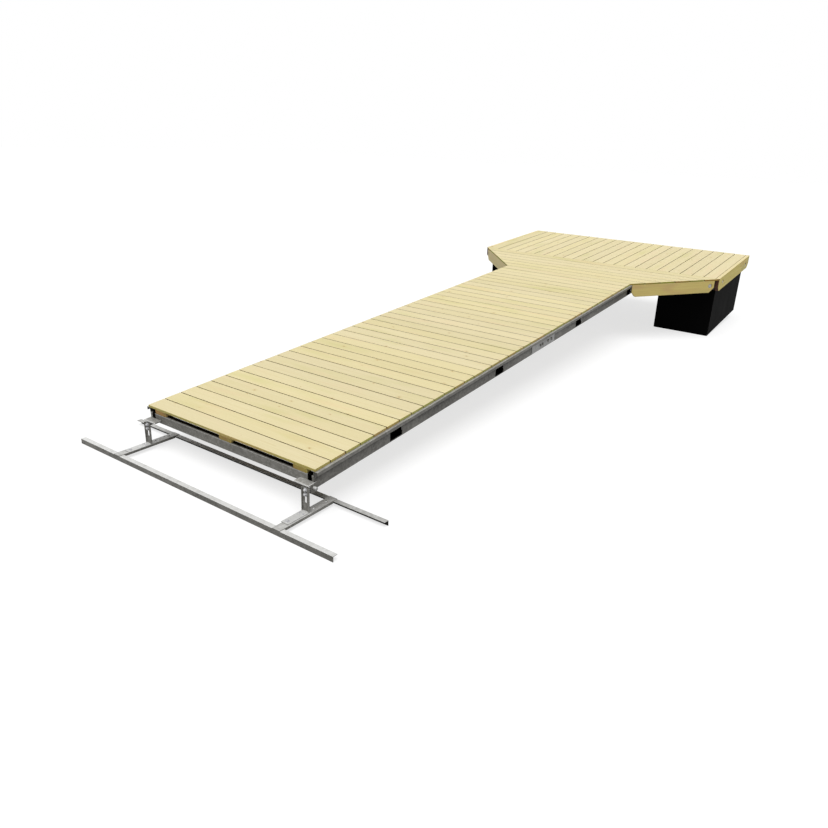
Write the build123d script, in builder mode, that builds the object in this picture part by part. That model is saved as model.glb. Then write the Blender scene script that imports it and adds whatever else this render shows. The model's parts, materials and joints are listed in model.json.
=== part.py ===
from build123d import *
import os
from math import asin, atan2, cos, degrees, hypot, sin

# A floating jetty: a steel walkway with a timber deck, hinged to a steel shore frame, and a wide
# timber-edged head carried on two floats. Millimetres, +Z up, +X from the shore towards the head,
# +Y to the left. The part stands on a level floor, on its shore frame and its floats, so the
# jetty rises towards its head. The jetty is laid out in the deck's own coordinates: x along it
# from its shore end, z up from its surface. The shore frame is laid out on the ground, with its
# x counted from the hinge axis.

os.makedirs("parts", exist_ok=True)

# Decking: boards across the walkway in two sections, and along it on the head.
board_width = 145
board_gap = 6
board_pitch = board_width + board_gap
board_thickness = 21
boards_per_section = 22
taper_boards = 6
head_boards = 22
section_length = boards_per_section * board_pitch
head_start = 2 * section_length
taper_start = head_start - taper_boards * board_pitch
head_length = 1730
head_end = head_start + head_length
walkway_half_width = 863

# Timber edges of the head.
fascia_thickness = 45
fascia_bottom = 173
fascia_depth = fascia_bottom - board_thickness
fascia_chamfer = 60
fascia_slit = 45
head_deck_half_width = (head_boards * board_pitch - board_gap) / 2
fascia_inner = head_deck_half_width + board_gap / 2
head_half_width = fascia_inner + fascia_thickness
taper_angle = atan2(head_half_width - walkway_half_width, head_start - taper_start)

# Timber battens under the cross boards.
batten_width = 120
batten_thickness = 35
batten_offset = 723

# Walkway steel: side beams with an outward top flange, and cross beams between them.
steel = 4
beam_bottom = 148
beam_depth = beam_bottom - board_thickness
web_inner = 845
web_outer = web_inner + steel
top_flange = 33
lip_depth = 25
bottom_flange = 40
cross_beam_width = 150
cross_beam_stations = (878, 2436)
cross_beam_top = board_thickness + batten_thickness
end_beam_width = 45
end_beam_height = 70
shore_beam_slots = ((791, 827),)
splice_length = 500
splice_thickness = 5
splice_top = board_thickness + lip_depth + steel
splice_bottom = beam_bottom - steel

# Head steel and floats.
bearer_width = 60
bearer_depth = 90
outrigger_stations = (6200, 6540)
float_length = 1510
float_width = 722
float_start = 6746
float_inner = 938
float_bottom = 806
float_corner = 12

# Shore frame on the ground.
rail_length = 2600
rail_size = 40
front_rail_x = -318
rear_rail_x = 217
base_bar_width = 66
base_bar_offset = 832
base_bar_flange = 20
anchor_hole_radius = 7
anchor_holes_x = (20, 143)
foot_plate_start = -235
foot_plate_thickness = 5
leg_width = 62
leg_offset = 823
leg_back = -37
leg_depth = 14
leg_top = 219
slot_width = 16
slot_bottom = 108
slot_top = 211

# Hinge: one level bolt at each leg, through the leg's lug and the jetty's ear.
hinge_height = 211
hinge_drop = 130
hinge_setback = 17
bolt_radius = 6
bolt_clearance = 0.05
bolt_cap_radius = 12
bolt_cap_length = 26
nut_radius = 10
nut_thickness = 8
bolt_shank = 27
nut_face = 17
lug_steel = 6
lug_inner = 841
lug_radius = 12
lug_plate = 5
lug_plate_width = 46
lug_plate_top = 4
lug_plate_bottom = -60
ear_inner = web_outer
ear_outer = ear_inner + 6
ear_front = -26
ear_back = 32
ear_bottom = -36
ear_chamfer = 8
top_plate_front = -43
top_plate_inner = 723
top_plate_under = 23
top_plate_thickness = 8

# The slope at which the shore-side lower edges of the floats come down to the ground.
float_reach = float_start + hinge_setback
float_fall = float_bottom - hinge_drop
slope = atan2(float_fall, float_reach) - asin(hinge_height / hypot(float_reach, float_fall))

# The origin is on the ground under the middle of the whole part.
fascia_fall = fascia_bottom - hinge_drop
jetty_reach = (head_end + hinge_setback) * cos(slope) + fascia_fall * sin(slope)
hinge_x = -(front_rail_x + jetty_reach) / 2
print("slope", round(degrees(slope), 4), "hinge x", round(hinge_x, 3))

deck = Plane(
    origin=(
        hinge_x + hinge_setback * cos(slope) - hinge_drop * sin(slope),
        0,
        hinge_height + hinge_setback * sin(slope) + hinge_drop * cos(slope),
    ),
    x_dir=(cos(slope), 0, sin(slope)),
    z_dir=(-sin(slope), 0, cos(slope)),
)

sides = (("left", 1), ("right", -1))


def on_deck(origin, x_dir, z_dir):
    """A plane that is given in the deck's own coordinates."""
    return Plane(deck.location * Plane(origin=origin, x_dir=x_dir, z_dir=z_dir).location)


def deck_level(drop):
    """The plane parallel to the deck, drop below its surface, facing up."""
    return on_deck((0, 0, -drop), (1, 0, 0), (0, 0, 1))


def deck_station(x):
    """The plane across the jetty at x, facing the head: its x is +Y, its y is up."""
    return on_deck((x, 0, 0), (0, 1, 0), (1, 0, 0))


def deck_upright(y):
    """The plane along the jetty at y, facing -Y: its x is along the deck, its y is up."""
    return on_deck((0, y, 0), (1, 0, 0), (0, -1, 0))


def outward(sign):
    """The alignment that puts a shape on the outer side of its location."""
    return Align.MIN if sign > 0 else Align.MAX


def save(piece, name):
    piece.part.label = name
    export_step(piece.part, f"parts/{name}.step")


# --- Shore frame -----------------------------------------------------------------------------

def rail(name, edge, inward):
    """An angle section along Y: its web stands at edge, and its top flange reaches inward."""
    with BuildPart() as angle:
        with BuildSketch(Plane.XZ):
            with BuildLine():
                Polyline(
                    (edge, 0),
                    (edge, rail_size),
                    (edge + inward * rail_size, rail_size),
                    (edge + inward * rail_size, rail_size - steel),
                    (edge + inward * steel, rail_size - steel),
                    (edge + inward * steel, 0),
                    close=True,
                )
            make_face()
        extrude(amount=rail_length / 2, both=True)
    save(angle, name)


def base_bar(side, sign):
    """A shallow channel, flanges down: its top lies on both rails, its flanges between them."""
    length = rear_rail_x - front_rail_x
    middle = hinge_x + (front_rail_x + rear_rail_x) / 2
    flange_offset = (base_bar_width - steel) / 2
    with BuildPart() as bar:
        with BuildSketch(Plane.XY.offset(rail_size)):
            with Locations((middle, sign * base_bar_offset)):
                Rectangle(length, base_bar_width)
            with Locations([(hinge_x + x, sign * base_bar_offset) for x in anchor_holes_x]):
                Circle(anchor_hole_radius, mode=Mode.SUBTRACT)
        extrude(amount=steel)
        with BuildSketch(Plane.XY.offset(rail_size)):
            with Locations(
                (middle, sign * base_bar_offset - flange_offset),
                (middle, sign * base_bar_offset + flange_offset),
            ):
                Rectangle(length - 2 * rail_size - steel, steel)
        extrude(amount=steel - base_bar_flange)
    save(bar, f"base_bar_{side}")


def foot_plate(side, sign):
    """The flat foot of a leg, on its base bar."""
    with BuildPart() as plate:
        with BuildSketch(Plane.XY.offset(rail_size + steel)):
            with Locations((hinge_x + foot_plate_start, sign * leg_offset)):
                Rectangle(
                    leg_back - foot_plate_start, leg_width, align=(Align.MIN, Align.CENTER)
                )
        extrude(amount=foot_plate_thickness)
    save(plate, f"foot_plate_{side}")


def leg(side, sign):
    """A slotted channel, open to the shore, on its foot plate."""
    foot = rail_size + steel + foot_plate_thickness
    with BuildPart() as channel:
        with BuildSketch(Plane.XY.offset(foot)):
            with Locations((hinge_x + leg_back, sign * leg_offset)):
                Rectangle(leg_depth, leg_width, align=(Align.MAX, Align.CENTER))
            with Locations((hinge_x + leg_back - steel, sign * leg_offset)):
                Rectangle(
                    leg_depth,
                    leg_width - 2 * steel,
                    align=(Align.MAX, Align.CENTER),
                    mode=Mode.SUBTRACT,
                )
        extrude(amount=leg_top - foot)
        with BuildSketch(Plane.YZ.offset(hinge_x + leg_back)):
            with Locations((sign * leg_offset, (slot_bottom + slot_top) / 2)):
                SlotOverall(slot_top - slot_bottom, slot_width, rotation=90)
        extrude(amount=-steel, mode=Mode.SUBTRACT)
    save(channel, f"leg_{side}")


def hinge_lug(side, sign):
    """A bent plate behind the leg: its lug reaches towards the jetty and holds the bolt."""
    lug_face = Plane(
        origin=(hinge_x, sign * (lug_inner + lug_steel / 2), hinge_height),
        x_dir=(1, 0, 0),
        z_dir=(0, -1, 0),
    )
    with BuildPart() as lug:
        with BuildSketch(lug_face):
            with BuildLine():
                Polyline(
                    (leg_back, lug_plate_bottom / 2),
                    (0, -lug_radius),
                    (lug_radius, 0),
                    (0, lug_radius),
                    (leg_back, lug_plate_top),
                    close=True,
                )
            make_face()
            Circle(lug_radius)
            Circle(bolt_radius + bolt_clearance, mode=Mode.SUBTRACT)
        extrude(amount=lug_steel / 2, both=True)
        with BuildSketch(Plane.YZ.offset(hinge_x + leg_back)):
            with Locations((sign * (lug_inner + lug_steel), hinge_height + lug_plate_top)):
                Rectangle(
                    lug_plate_width,
                    lug_plate_top - lug_plate_bottom,
                    align=(outward(-sign), Align.MAX),
                )
        extrude(amount=lug_plate)
    save(lug, f"hinge_lug_{side}")


def hinge_bolt(side, sign):
    """A bolt through ear and lug, with a long round cap outside and a hexagon nut inside."""
    head_face = Plane(
        origin=(hinge_x, sign * (ear_outer + 1), hinge_height), x_dir=(1, 0, 0), z_dir=(0, sign, 0)
    )
    with BuildPart() as bolt:
        with BuildSketch(head_face):
            Circle(bolt_cap_radius)
        extrude(amount=bolt_cap_length)
        with BuildSketch(head_face):
            Circle(bolt_radius)
        extrude(amount=-bolt_shank)
        with BuildSketch(head_face.offset(-nut_face)):
            RegularPolygon(nut_radius, 6)
        extrude(amount=-nut_thickness)
    save(bolt, f"hinge_bolt_{side}")


rail("front_rail", hinge_x + front_rail_x, 1)
rail("rear_rail", hinge_x + rear_rail_x, -1)
for side, sign in sides:
    base_bar(side, sign)
    foot_plate(side, sign)
    leg(side, sign)
    hinge_lug(side, sign)
    hinge_bolt(side, sign)


# --- Walkway steel ---------------------------------------------------------------------------

def side_beam(name, start, sign):
    """A web with an outward, lipped top flange, an inward bottom flange and two openings."""
    top = -board_thickness
    bottom = -beam_bottom
    tip = web_outer + top_flange
    outline = [
        (web_inner, top),
        (tip, top),
        (tip, top - lip_depth),
        (tip - steel, top - lip_depth),
        (tip - steel, top - steel),
        (web_outer, top - steel),
        (web_outer, bottom),
        (web_inner - bottom_flange, bottom),
        (web_inner - bottom_flange, bottom + steel),
        (web_inner, bottom + steel),
    ]
    with BuildPart() as beam:
        with BuildSketch(deck_station(start)):
            with BuildLine():
                Polyline(*[(sign * y, z) for y, z in outline], close=True)
            make_face()
        extrude(amount=section_length)
        with BuildSketch(deck_upright(sign * web_inner)):
            with Locations([(start + x, -cross_beam_top) for x in cross_beam_stations]):
                Rectangle(
                    cross_beam_width,
                    beam_bottom - steel - cross_beam_top,
                    align=(Align.CENTER, Align.MAX),
                )
        extrude(amount=-sign * steel, mode=Mode.SUBTRACT)
    save(beam, name)


def end_beam(name, middle, slots=()):
    """A rectangular tube between the side beams, under the battens' ends. Its front wall may
    have upright slots, from one distance to another off the middle."""
    with BuildPart() as tube:
        with BuildSketch(deck_upright(0)):
            with Locations((middle, -cross_beam_top - end_beam_height / 2)):
                Rectangle(end_beam_width, end_beam_height)
                Rectangle(
                    end_beam_width - 2 * steel, end_beam_height - 2 * steel, mode=Mode.SUBTRACT
                )
        extrude(amount=web_inner, both=True)
        if slots:
            with BuildSketch(on_deck((middle - end_beam_width / 2, 0, 0), (0, 1, 0), (1, 0, 0))):
                for near, far in slots:
                    across = (near + far) / 2
                    with Locations(
                        [(y, -cross_beam_top - end_beam_height / 2) for y in (across, -across)]
                    ):
                        Rectangle(far - near, end_beam_height)
            extrude(amount=steel, mode=Mode.SUBTRACT)
    save(tube, name)


def cross_beams(name, start):
    """Rectangular tubes across the walkway, open at both ends behind the side beams' webs."""
    height = beam_bottom - steel - cross_beam_top
    with BuildPart() as tubes:
        with BuildSketch(deck_upright(0)):
            with Locations(
                [(start + x, -cross_beam_top - height / 2) for x in cross_beam_stations]
            ):
                Rectangle(cross_beam_width, height)
                Rectangle(cross_beam_width - 2 * steel, height - 2 * steel, mode=Mode.SUBTRACT)
        extrude(amount=web_inner, both=True)
    save(tubes, name)


def battens(name, start):
    """Three lengthwise timbers, on the cross beams and under the boards."""
    with BuildPart() as timbers:
        with BuildSketch(deck_level(board_thickness)):
            with Locations([(start, y) for y in (-batten_offset, 0, batten_offset)]):
                Rectangle(
                    section_length - board_gap, batten_width, align=(Align.MIN, Align.CENTER)
                )
        extrude(amount=-batten_thickness)
    save(timbers, name)


def splice_plate(side, sign):
    """The plate that joins the two sections' side beams, on the outside of their webs."""
    with BuildPart() as plate:
        with BuildSketch(deck_upright(sign * web_outer)):
            with Locations((section_length, -splice_top)):
                Rectangle(
                    splice_length, splice_bottom - splice_top, align=(Align.CENTER, Align.MAX)
                )
        extrude(amount=-sign * splice_thickness)
    save(plate, f"splice_plate_{side}")


def hinge_bracket(side, sign):
    """The jetty's half of a hinge: a level plate on the end beam, and an ear on the side beam."""
    with BuildPart() as bracket:
        with BuildSketch(deck_level(hinge_drop - top_plate_under)):
            with Locations((top_plate_front - hinge_setback, sign * top_plate_inner)):
                Rectangle(
                    hinge_setback - top_plate_front,
                    ear_outer - top_plate_inner,
                    align=(Align.MIN, outward(sign)),
                )
        extrude(amount=top_plate_thickness)
        hinge_face = on_deck(
            (-hinge_setback, sign * ear_inner, -hinge_drop), (1, 0, 0), (0, -1, 0)
        )
        with BuildSketch(hinge_face):
            with BuildLine():
                Polyline(
                    (ear_front, top_plate_under + top_plate_thickness),
                    (ear_front, ear_bottom + ear_chamfer),
                    (ear_front + ear_chamfer, ear_bottom),
                    (ear_back, ear_bottom),
                    (ear_back, top_plate_under + top_plate_thickness),
                    close=True,
                )
            make_face()
            Circle(bolt_radius + bolt_clearance, mode=Mode.SUBTRACT)
        extrude(amount=-sign * (ear_outer - ear_inner))
    save(bracket, f"hinge_bracket_{side}")


for section, start in (("near", 0), ("far", section_length)):
    for side, sign in sides:
        side_beam(f"{section}_side_beam_{side}", start, sign)
    cross_beams(f"{section}_cross_beams", start)
    battens(f"{section}_battens", start)
half_beam = end_beam_width / 2
end_beam("near_shore_end_beam", half_beam, shore_beam_slots)
end_beam("near_head_end_beam", section_length - half_beam)
end_beam("far_shore_end_beam", section_length + half_beam)
end_beam("far_head_end_beam", head_start - half_beam)
for side, sign in sides:
    splice_plate(side, sign)
    hinge_bracket(side, sign)


# --- Decks -----------------------------------------------------------------------------------

def taper_edge(x):
    """Half the deck's width at x, along the straight taper from the walkway to the head."""
    share = (x - taper_start) / (head_start - taper_start)
    return walkway_half_width + share * (head_half_width - walkway_half_width)


def deck_slab(name, start, end, start_half, end_half):
    """A run of boards as one slab, whose half width goes from start_half to end_half."""
    with BuildPart() as slab:
        with BuildSketch(deck_level(board_thickness)):
            with BuildLine():
                Polyline(
                    (start, start_half),
                    (end, end_half),
                    (end, -end_half),
                    (start, -start_half),
                    close=True,
                )
            make_face()
        extrude(amount=board_thickness)
    save(slab, name)


taper_end = head_start - board_gap
near_end = section_length - board_gap
far_end = taper_start - board_gap
deck_slab("near_deck", 0, near_end, walkway_half_width, walkway_half_width)
deck_slab("far_deck", section_length, far_end, walkway_half_width, walkway_half_width)
deck_slab("taper_deck", taper_start, taper_end, walkway_half_width, taper_edge(taper_end))
deck_slab("head_deck", head_start, head_end, head_deck_half_width, head_deck_half_width)


# --- Head ------------------------------------------------------------------------------------

def fascia_outline(length, top):
    """A fascia's corners, from x = 0: both the lower ones are cut at 45 degrees."""
    return [
        (0, top),
        (length, top),
        (length, -fascia_bottom + fascia_chamfer),
        (length - fascia_chamfer, -fascia_bottom),
        (fascia_chamfer, -fascia_bottom),
        (0, -fascia_bottom + fascia_chamfer),
    ]


def side_fascia(side, sign):
    """The timber along the head's side, with its top flush with the boards."""
    face = on_deck((head_start, sign * fascia_inner, 0), (1, 0, 0), (0, -1, 0))
    with BuildPart() as timber:
        with BuildSketch(face):
            with BuildLine():
                Polyline(*fascia_outline(head_length, 0), close=True)
            make_face()
        extrude(amount=-sign * fascia_thickness)
    save(timber, f"side_fascia_{side}")


def angled_fascia(side, sign):
    """The timber under the taper's board ends, from the side beam to the side fascia."""
    tip = web_outer + top_flange
    beam_x = taper_start - (walkway_half_width - tip) / (sin(taper_angle) / cos(taper_angle))
    length = (head_start - fascia_slit - beam_x) / cos(taper_angle)
    face = on_deck(
        (beam_x, sign * tip, 0),
        (cos(taper_angle), sign * sin(taper_angle), 0),
        (sign * sin(taper_angle), -cos(taper_angle), 0),
    )
    with BuildPart() as timber:
        with BuildSketch(face):
            with BuildLine():
                Polyline(*fascia_outline(length, -board_thickness), close=True)
            make_face()
        extrude(amount=sign * fascia_thickness)
        beam_side = on_deck((0, sign * tip, 0), (1, 0, 0), (0, sign, 0))
        split(bisect_by=beam_side, keep=Keep.TOP)
        head_side = on_deck((head_start - fascia_slit, 0, 0), (0, 1, 0), (1, 0, 0))
        split(bisect_by=head_side, keep=Keep.BOTTOM)
    save(timber, f"angled_fascia_{side}")


def outriggers(side, sign):
    """Short channels from the side beam to the angled fascia, under the taper's boards."""
    tip = web_outer + top_flange
    with BuildPart() as channels:
        for station in outrigger_stations:
            shore_edge = station - bearer_width / 2
            reach = taper_edge(shore_edge) - fascia_thickness / cos(taper_angle)
            with BuildSketch(deck_upright(sign * tip)):
                with Locations((station, -board_thickness - bearer_depth / 2)):
                    Rectangle(bearer_width, bearer_depth)
                with Locations((station + steel, -board_thickness - bearer_depth / 2)):
                    Rectangle(bearer_width, bearer_depth - 2 * steel, mode=Mode.SUBTRACT)
            extrude(amount=-sign * (reach - tip))
    save(channels, f"outriggers_{side}")


def head_bearers(name, stations):
    """Channels across the head, under its boards and over its floats."""
    with BuildPart() as channels:
        with BuildSketch(deck_upright(0)):
            for station in stations:
                with Locations((station, -board_thickness - beam_depth / 2)):
                    Rectangle(bearer_width, beam_depth)
                with Locations((station + steel, -board_thickness - beam_depth / 2)):
                    Rectangle(bearer_width, beam_depth - 2 * steel, mode=Mode.SUBTRACT)
        extrude(amount=fascia_inner, both=True)
    save(channels, name)


def float_box(side, sign):
    """A closed float: its top bears on the bearers, inside the side fascia."""
    with BuildPart() as box:
        with BuildSketch(deck_level(float_bottom)):
            with Locations((float_start, sign * float_inner)):
                RectangleRounded(
                    float_length, float_width, float_corner, align=(Align.MIN, outward(sign))
                )
        extrude(amount=float_bottom - beam_bottom)
    save(box, f"float_{side}")


for side, sign in sides:
    side_fascia(side, sign)
    angled_fascia(side, sign)
    outriggers(side, sign)
    float_box(side, sign)

with BuildPart() as back_fascia:
    with BuildSketch(deck_level(fascia_bottom)):
        with Locations((head_end, 0)):
            Rectangle(fascia_thickness, 2 * fascia_inner, align=(Align.MAX, Align.CENTER))
    extrude(amount=fascia_depth)
save(back_fascia, "back_fascia")

first_bearer = head_start + bearer_width / 2
last_bearer = head_end - fascia_thickness - bearer_width / 2
bearer_pitch = (last_bearer - first_bearer) / 3
head_bearers("head_shore_bearer", [first_bearer])
head_bearers("head_middle_bearers", [first_bearer + bearer_pitch, last_bearer - bearer_pitch])
head_bearers("head_back_bearer", [last_bearer])
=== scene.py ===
"""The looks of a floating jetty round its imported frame: boards, timbers, bolts, steel, floats,
floor, light and camera. Lengths are in metres."""

import json
import math
import random

import bmesh
import bpy
from mathutils import Euler, Matrix, Vector

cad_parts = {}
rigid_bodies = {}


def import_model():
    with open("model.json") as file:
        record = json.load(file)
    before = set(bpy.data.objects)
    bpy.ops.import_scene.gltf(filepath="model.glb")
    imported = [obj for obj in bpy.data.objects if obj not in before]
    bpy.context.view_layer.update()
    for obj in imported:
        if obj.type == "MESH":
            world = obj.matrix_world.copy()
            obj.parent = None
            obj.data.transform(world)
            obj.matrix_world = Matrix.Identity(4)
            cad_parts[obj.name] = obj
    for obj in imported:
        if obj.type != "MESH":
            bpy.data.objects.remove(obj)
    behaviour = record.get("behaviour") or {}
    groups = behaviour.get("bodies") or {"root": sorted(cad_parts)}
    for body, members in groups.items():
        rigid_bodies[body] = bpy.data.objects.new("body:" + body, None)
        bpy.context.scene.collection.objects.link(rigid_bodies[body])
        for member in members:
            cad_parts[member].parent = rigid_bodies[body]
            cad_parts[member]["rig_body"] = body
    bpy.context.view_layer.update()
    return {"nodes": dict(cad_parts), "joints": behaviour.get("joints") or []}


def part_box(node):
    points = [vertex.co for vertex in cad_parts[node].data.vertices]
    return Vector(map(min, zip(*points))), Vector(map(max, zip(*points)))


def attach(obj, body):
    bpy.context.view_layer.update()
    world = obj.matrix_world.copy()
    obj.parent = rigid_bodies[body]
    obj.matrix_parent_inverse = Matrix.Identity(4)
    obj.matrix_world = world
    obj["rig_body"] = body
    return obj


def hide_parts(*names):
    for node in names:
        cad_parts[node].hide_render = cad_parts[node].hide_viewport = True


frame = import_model()
nodes = frame["nodes"]

HINGE = Vector(frame["joints"][0]["pos_m"])
SIDES = (("left", 1), ("right", -1))


# --- The deck's own frame --------------------------------------------------------------------

def deck_frame():
    """The deck's frame. Its origin is the middle of the deck's shore edge, x runs along the deck
    and z points out of it."""
    corners = [v.co for v in nodes["near_deck"].data.vertices]
    shore_edge = min(corners, key=lambda c: c.x)
    head_edge = max(corners, key=lambda c: c.z)
    slope = math.atan2(head_edge.z - shore_edge.z, head_edge.x - shore_edge.x)
    return Matrix.Translation((shore_edge.x, 0, shore_edge.z)) @ Matrix.Rotation(-slope, 4, "Y")


DECK = deck_frame()
TO_DECK = DECK.inverted()

# Corners this close together count as one place.
SAME_PLACE = 0.001
# A face looks along an axis where its normal has more than this of it.
MOSTLY = 0.5


def deck_corners(node):
    """A CAD node's corners in the deck's frame."""
    return [TO_DECK @ v.co for v in nodes[node].data.vertices]


def deck_box(node):
    """A CAD node's lowest and highest corners in the deck's frame."""
    corners = deck_corners(node)
    low = Vector([min(c[i] for c in corners) for i in range(3)])
    high = Vector([max(c[i] for c in corners) for i in range(3)])
    return low, high


def frame_of(origin, along, up):
    """The matrix whose x is along, whose y is up and whose z is their cross product."""
    x = Vector(along).normalized()
    z = x.cross(Vector(up)).normalized()
    y = z.cross(x)
    turn = Matrix((x, y, z)).transposed().to_4x4()
    return Matrix.Translation(origin) @ turn


def facing(origin, out):
    """The matrix at origin whose z is out."""
    out = Vector(out).normalized()
    side = Vector((0, 0, 1)) if abs(out.z) < 0.9 else Vector((1, 0, 0))
    x = side.cross(out).normalized()
    turn = Matrix((x, out.cross(x), out)).transposed().to_4x4()
    return Matrix.Translation(origin) @ turn


# --- Shader nodes ----------------------------------------------------------------------------

class Tree:
    """Short ways to add and join shader nodes."""

    def __init__(self, tree):
        self.tree = tree
        tree.nodes.clear()

    def node(self, kind, inputs=None, **settings):
        """A new node. Each of its inputs is joined to a socket or set to a value."""
        made = self.tree.nodes.new(kind)
        for key, value in settings.items():
            setattr(made, key, value)
        for key, value in (inputs or {}).items():
            if isinstance(value, bpy.types.NodeSocket):
                self.tree.links.new(value, made.inputs[key])
            else:
                made.inputs[key].default_value = value
        return made

    def math(self, operation, a, b):
        return self.node("ShaderNodeMath", {0: a, 1: b}, operation=operation).outputs[0]

    def vector(self, operation, a, b):
        made = self.node("ShaderNodeVectorMath", {0: a, 1: b}, operation=operation)
        return made.outputs["Vector"]

    def length(self, vector):
        made = self.node("ShaderNodeVectorMath", {0: vector}, operation="LENGTH")
        return made.outputs["Value"]

    def parts(self, vector):
        """The three numbers of a vector or a colour."""
        return self.node("ShaderNodeSeparateXYZ", {"Vector": vector}).outputs

    def attribute(self, name, output="Fac"):
        return self.node("ShaderNodeAttribute", attribute_name=name).outputs[output]

    def mix(self, share, a, b, blend="MIX"):
        """The colour a, with its share of b."""
        made = self.node(
            "ShaderNodeMix", {0: share, 6: a, 7: b}, data_type="RGBA", blend_type=blend
        )
        return made.outputs[2]

    def span(self, value, low, high, to_low=0.0, to_high=1.0, smooth=False):
        """Takes low to to_low and high to to_high, and goes no further than these."""
        made = self.node(
            "ShaderNodeMapRange",
            dict(enumerate((value, low, high, to_low, to_high))),
            interpolation_type="SMOOTHSTEP" if smooth else "LINEAR",
        )
        return made.outputs[0]

    def noise(self, vector, scale, detail=2.0, roughness=0.5, output="Fac"):
        made = self.node(
            "ShaderNodeTexNoise",
            {"Vector": vector, "Scale": scale, "Detail": detail, "Roughness": roughness},
        )
        return made.outputs[output]

    def stretched_noise(self, vector, stretch, scale, detail, roughness=0.5):
        return self.noise(self.vector("MULTIPLY", vector, stretch), scale, detail, roughness)

    def bump(self, height, strength, distance):
        made = self.node(
            "ShaderNodeBump", {"Strength": strength, "Distance": distance, "Height": height}
        )
        return made.outputs[0]

    def output(self, surface, kind="ShaderNodeOutputMaterial"):
        self.node(kind, {"Surface": surface})


def new_material(name):
    """A new material and its empty tree."""
    made = bpy.data.materials.new(name)
    made.use_nodes = True
    return made, Tree(made.node_tree)


def colour(red, green, blue):
    """The linear colour of screen values from 0 to 255."""
    def linear(value):
        share = value / 255
        return share / 12.92 if share <= 0.04045 else ((share + 0.055) / 1.055) ** 2.4
    return linear(red), linear(green), linear(blue), 1.0


# --- Timber materials ------------------------------------------------------------------------

# A weathered top's patches, and what lies over its sides and ends: the dusk of late wood, the
# stains, and the painted shade in the gaps between timbers and in the slit.
OLIVE_PATCH = colour(206, 202, 132)
ROSY_PATCH = colour(238, 207, 168)
DUSK = colour(205, 190, 170)
RED_STAIN = colour(196, 136, 92)
GREEN_STAIN = colour(170, 164, 92)
GAP_SHADE = colour(104, 84, 44)
SLIT_SHADE = colour(78, 44, 28)

# The attribute cut: 0 on tops, up to 1 on sides and ends, and beyond that painted shade, in the
# gaps and in the slit.
SIDE_CUT = 0.8
END_CUT = 1.0
SHADED_GAP_CUT = 2.0
SHADED_SLIT_CUT = 3.0

KNOT_CELL = (2.6, 8.0, 0.6)
LARGEST_KNOT = 0.011


def late_wood(tree, grain):
    """The dark share of the growth rings, which are cylinders round the pith and wander slowly
    along the timber."""
    rings = tree.node(
        "ShaderNodeTexWave",
        {
            "Vector": tree.vector("MULTIPLY", grain, (0.055, 1, 1)),
            "Scale": 74.0,
            "Distortion": 9.0,
            "Detail": 2.0,
            "Detail Scale": 0.16,
            "Detail Roughness": 0.45,
        },
        wave_type="RINGS",
        rings_direction="X",
        wave_profile="SAW",
    )
    return tree.math("POWER", rings.outputs["Fac"], 3.0)


def knots_and_halos(tree, grain, streaks):
    """The shares of the knots, which stand through the timber, each in a cell of its own along
    it, and of the deeper wood round them."""
    cells = tree.node(
        "ShaderNodeTexVoronoi",
        {
            "Vector": tree.vector("MULTIPLY", grain, KNOT_CELL),
            "Scale": 1.0,
            "Randomness": 0.8,
        },
    )
    centre = tree.vector("DIVIDE", cells.outputs["Position"], KNOT_CELL)
    away = tree.vector("MULTIPLY", tree.vector("SUBTRACT", grain, centre), (0.7, 1, 0))
    reach = tree.length(away)
    size = tree.span(tree.parts(cells.outputs["Color"])[0], 0.6, 1.0, 0.0, LARGEST_KNOT)
    rough = tree.math("MULTIPLY", tree.math("SUBTRACT", streaks, 0.5), 0.003)
    ragged = tree.math("ADD", reach, rough)
    knots = tree.span(ragged, size, tree.math("MULTIPLY", size, 0.55), 0.0, 0.8)
    halos = tree.span(reach, tree.math("MULTIPLY", size, 3.2), size, 0.0, 0.3, smooth=True)
    return knots, halos


def top_colour(tree, grain, late, streaks, pale, deep, ring_share):
    """The weathered top: rings and streaks in pale wood, and olive and rosy patches."""
    patches = tree.stretched_noise(grain, (1.4, 7, 7), 1.0, 2.0)
    blush = tree.stretched_noise(grain, (0.9, 5, 5), 1.7, 1.0)
    wood = tree.mix(tree.math("MULTIPLY", late, ring_share), pale, deep)
    wood = tree.mix(tree.span(streaks, 0.35, 0.75, 0.0, 0.22), wood, deep)
    wood = tree.mix(tree.span(patches, 0.5, 0.8, 0.0, 0.42, smooth=True), wood, OLIVE_PATCH)
    return tree.mix(tree.span(blush, 0.56, 0.8, 0.0, 0.25, smooth=True), wood, ROSY_PATCH)


def flank_colour(tree, grain, late, streaks, side, warm_side, warmth, stain):
    """The sides and sawn ends: deeper than the top, some timbers warmer, and stained reddish
    and greenish in long patches."""
    reddish = tree.stretched_noise(grain, (2.2, 9, 9), 1.0, 1.0)
    elsewhere = tree.vector("ADD", tree.vector("MULTIPLY", grain, (1.8, 9, 9)), (7, 3, 5))
    greenish = tree.noise(elsewhere, 1.0, 1.0)
    wood = tree.mix(tree.span(warmth, 0.35, 0.95, 0.0, 1.0, smooth=True), side, warm_side)
    dusk = tree.mix(1.0, wood, DUSK, "MULTIPLY")
    wood = tree.mix(tree.math("MULTIPLY", late, 0.55), wood, dusk)
    wood = tree.mix(tree.span(streaks, 0.4, 0.8, 0.0, 0.5), wood, dusk)
    wood = tree.mix(tree.span(reddish, 0.5, 0.7, 0.0, stain, smooth=True), wood, RED_STAIN)
    return tree.mix(tree.span(greenish, 0.5, 0.7, 0.0, stain, smooth=True), wood, GREEN_STAIN)


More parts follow.
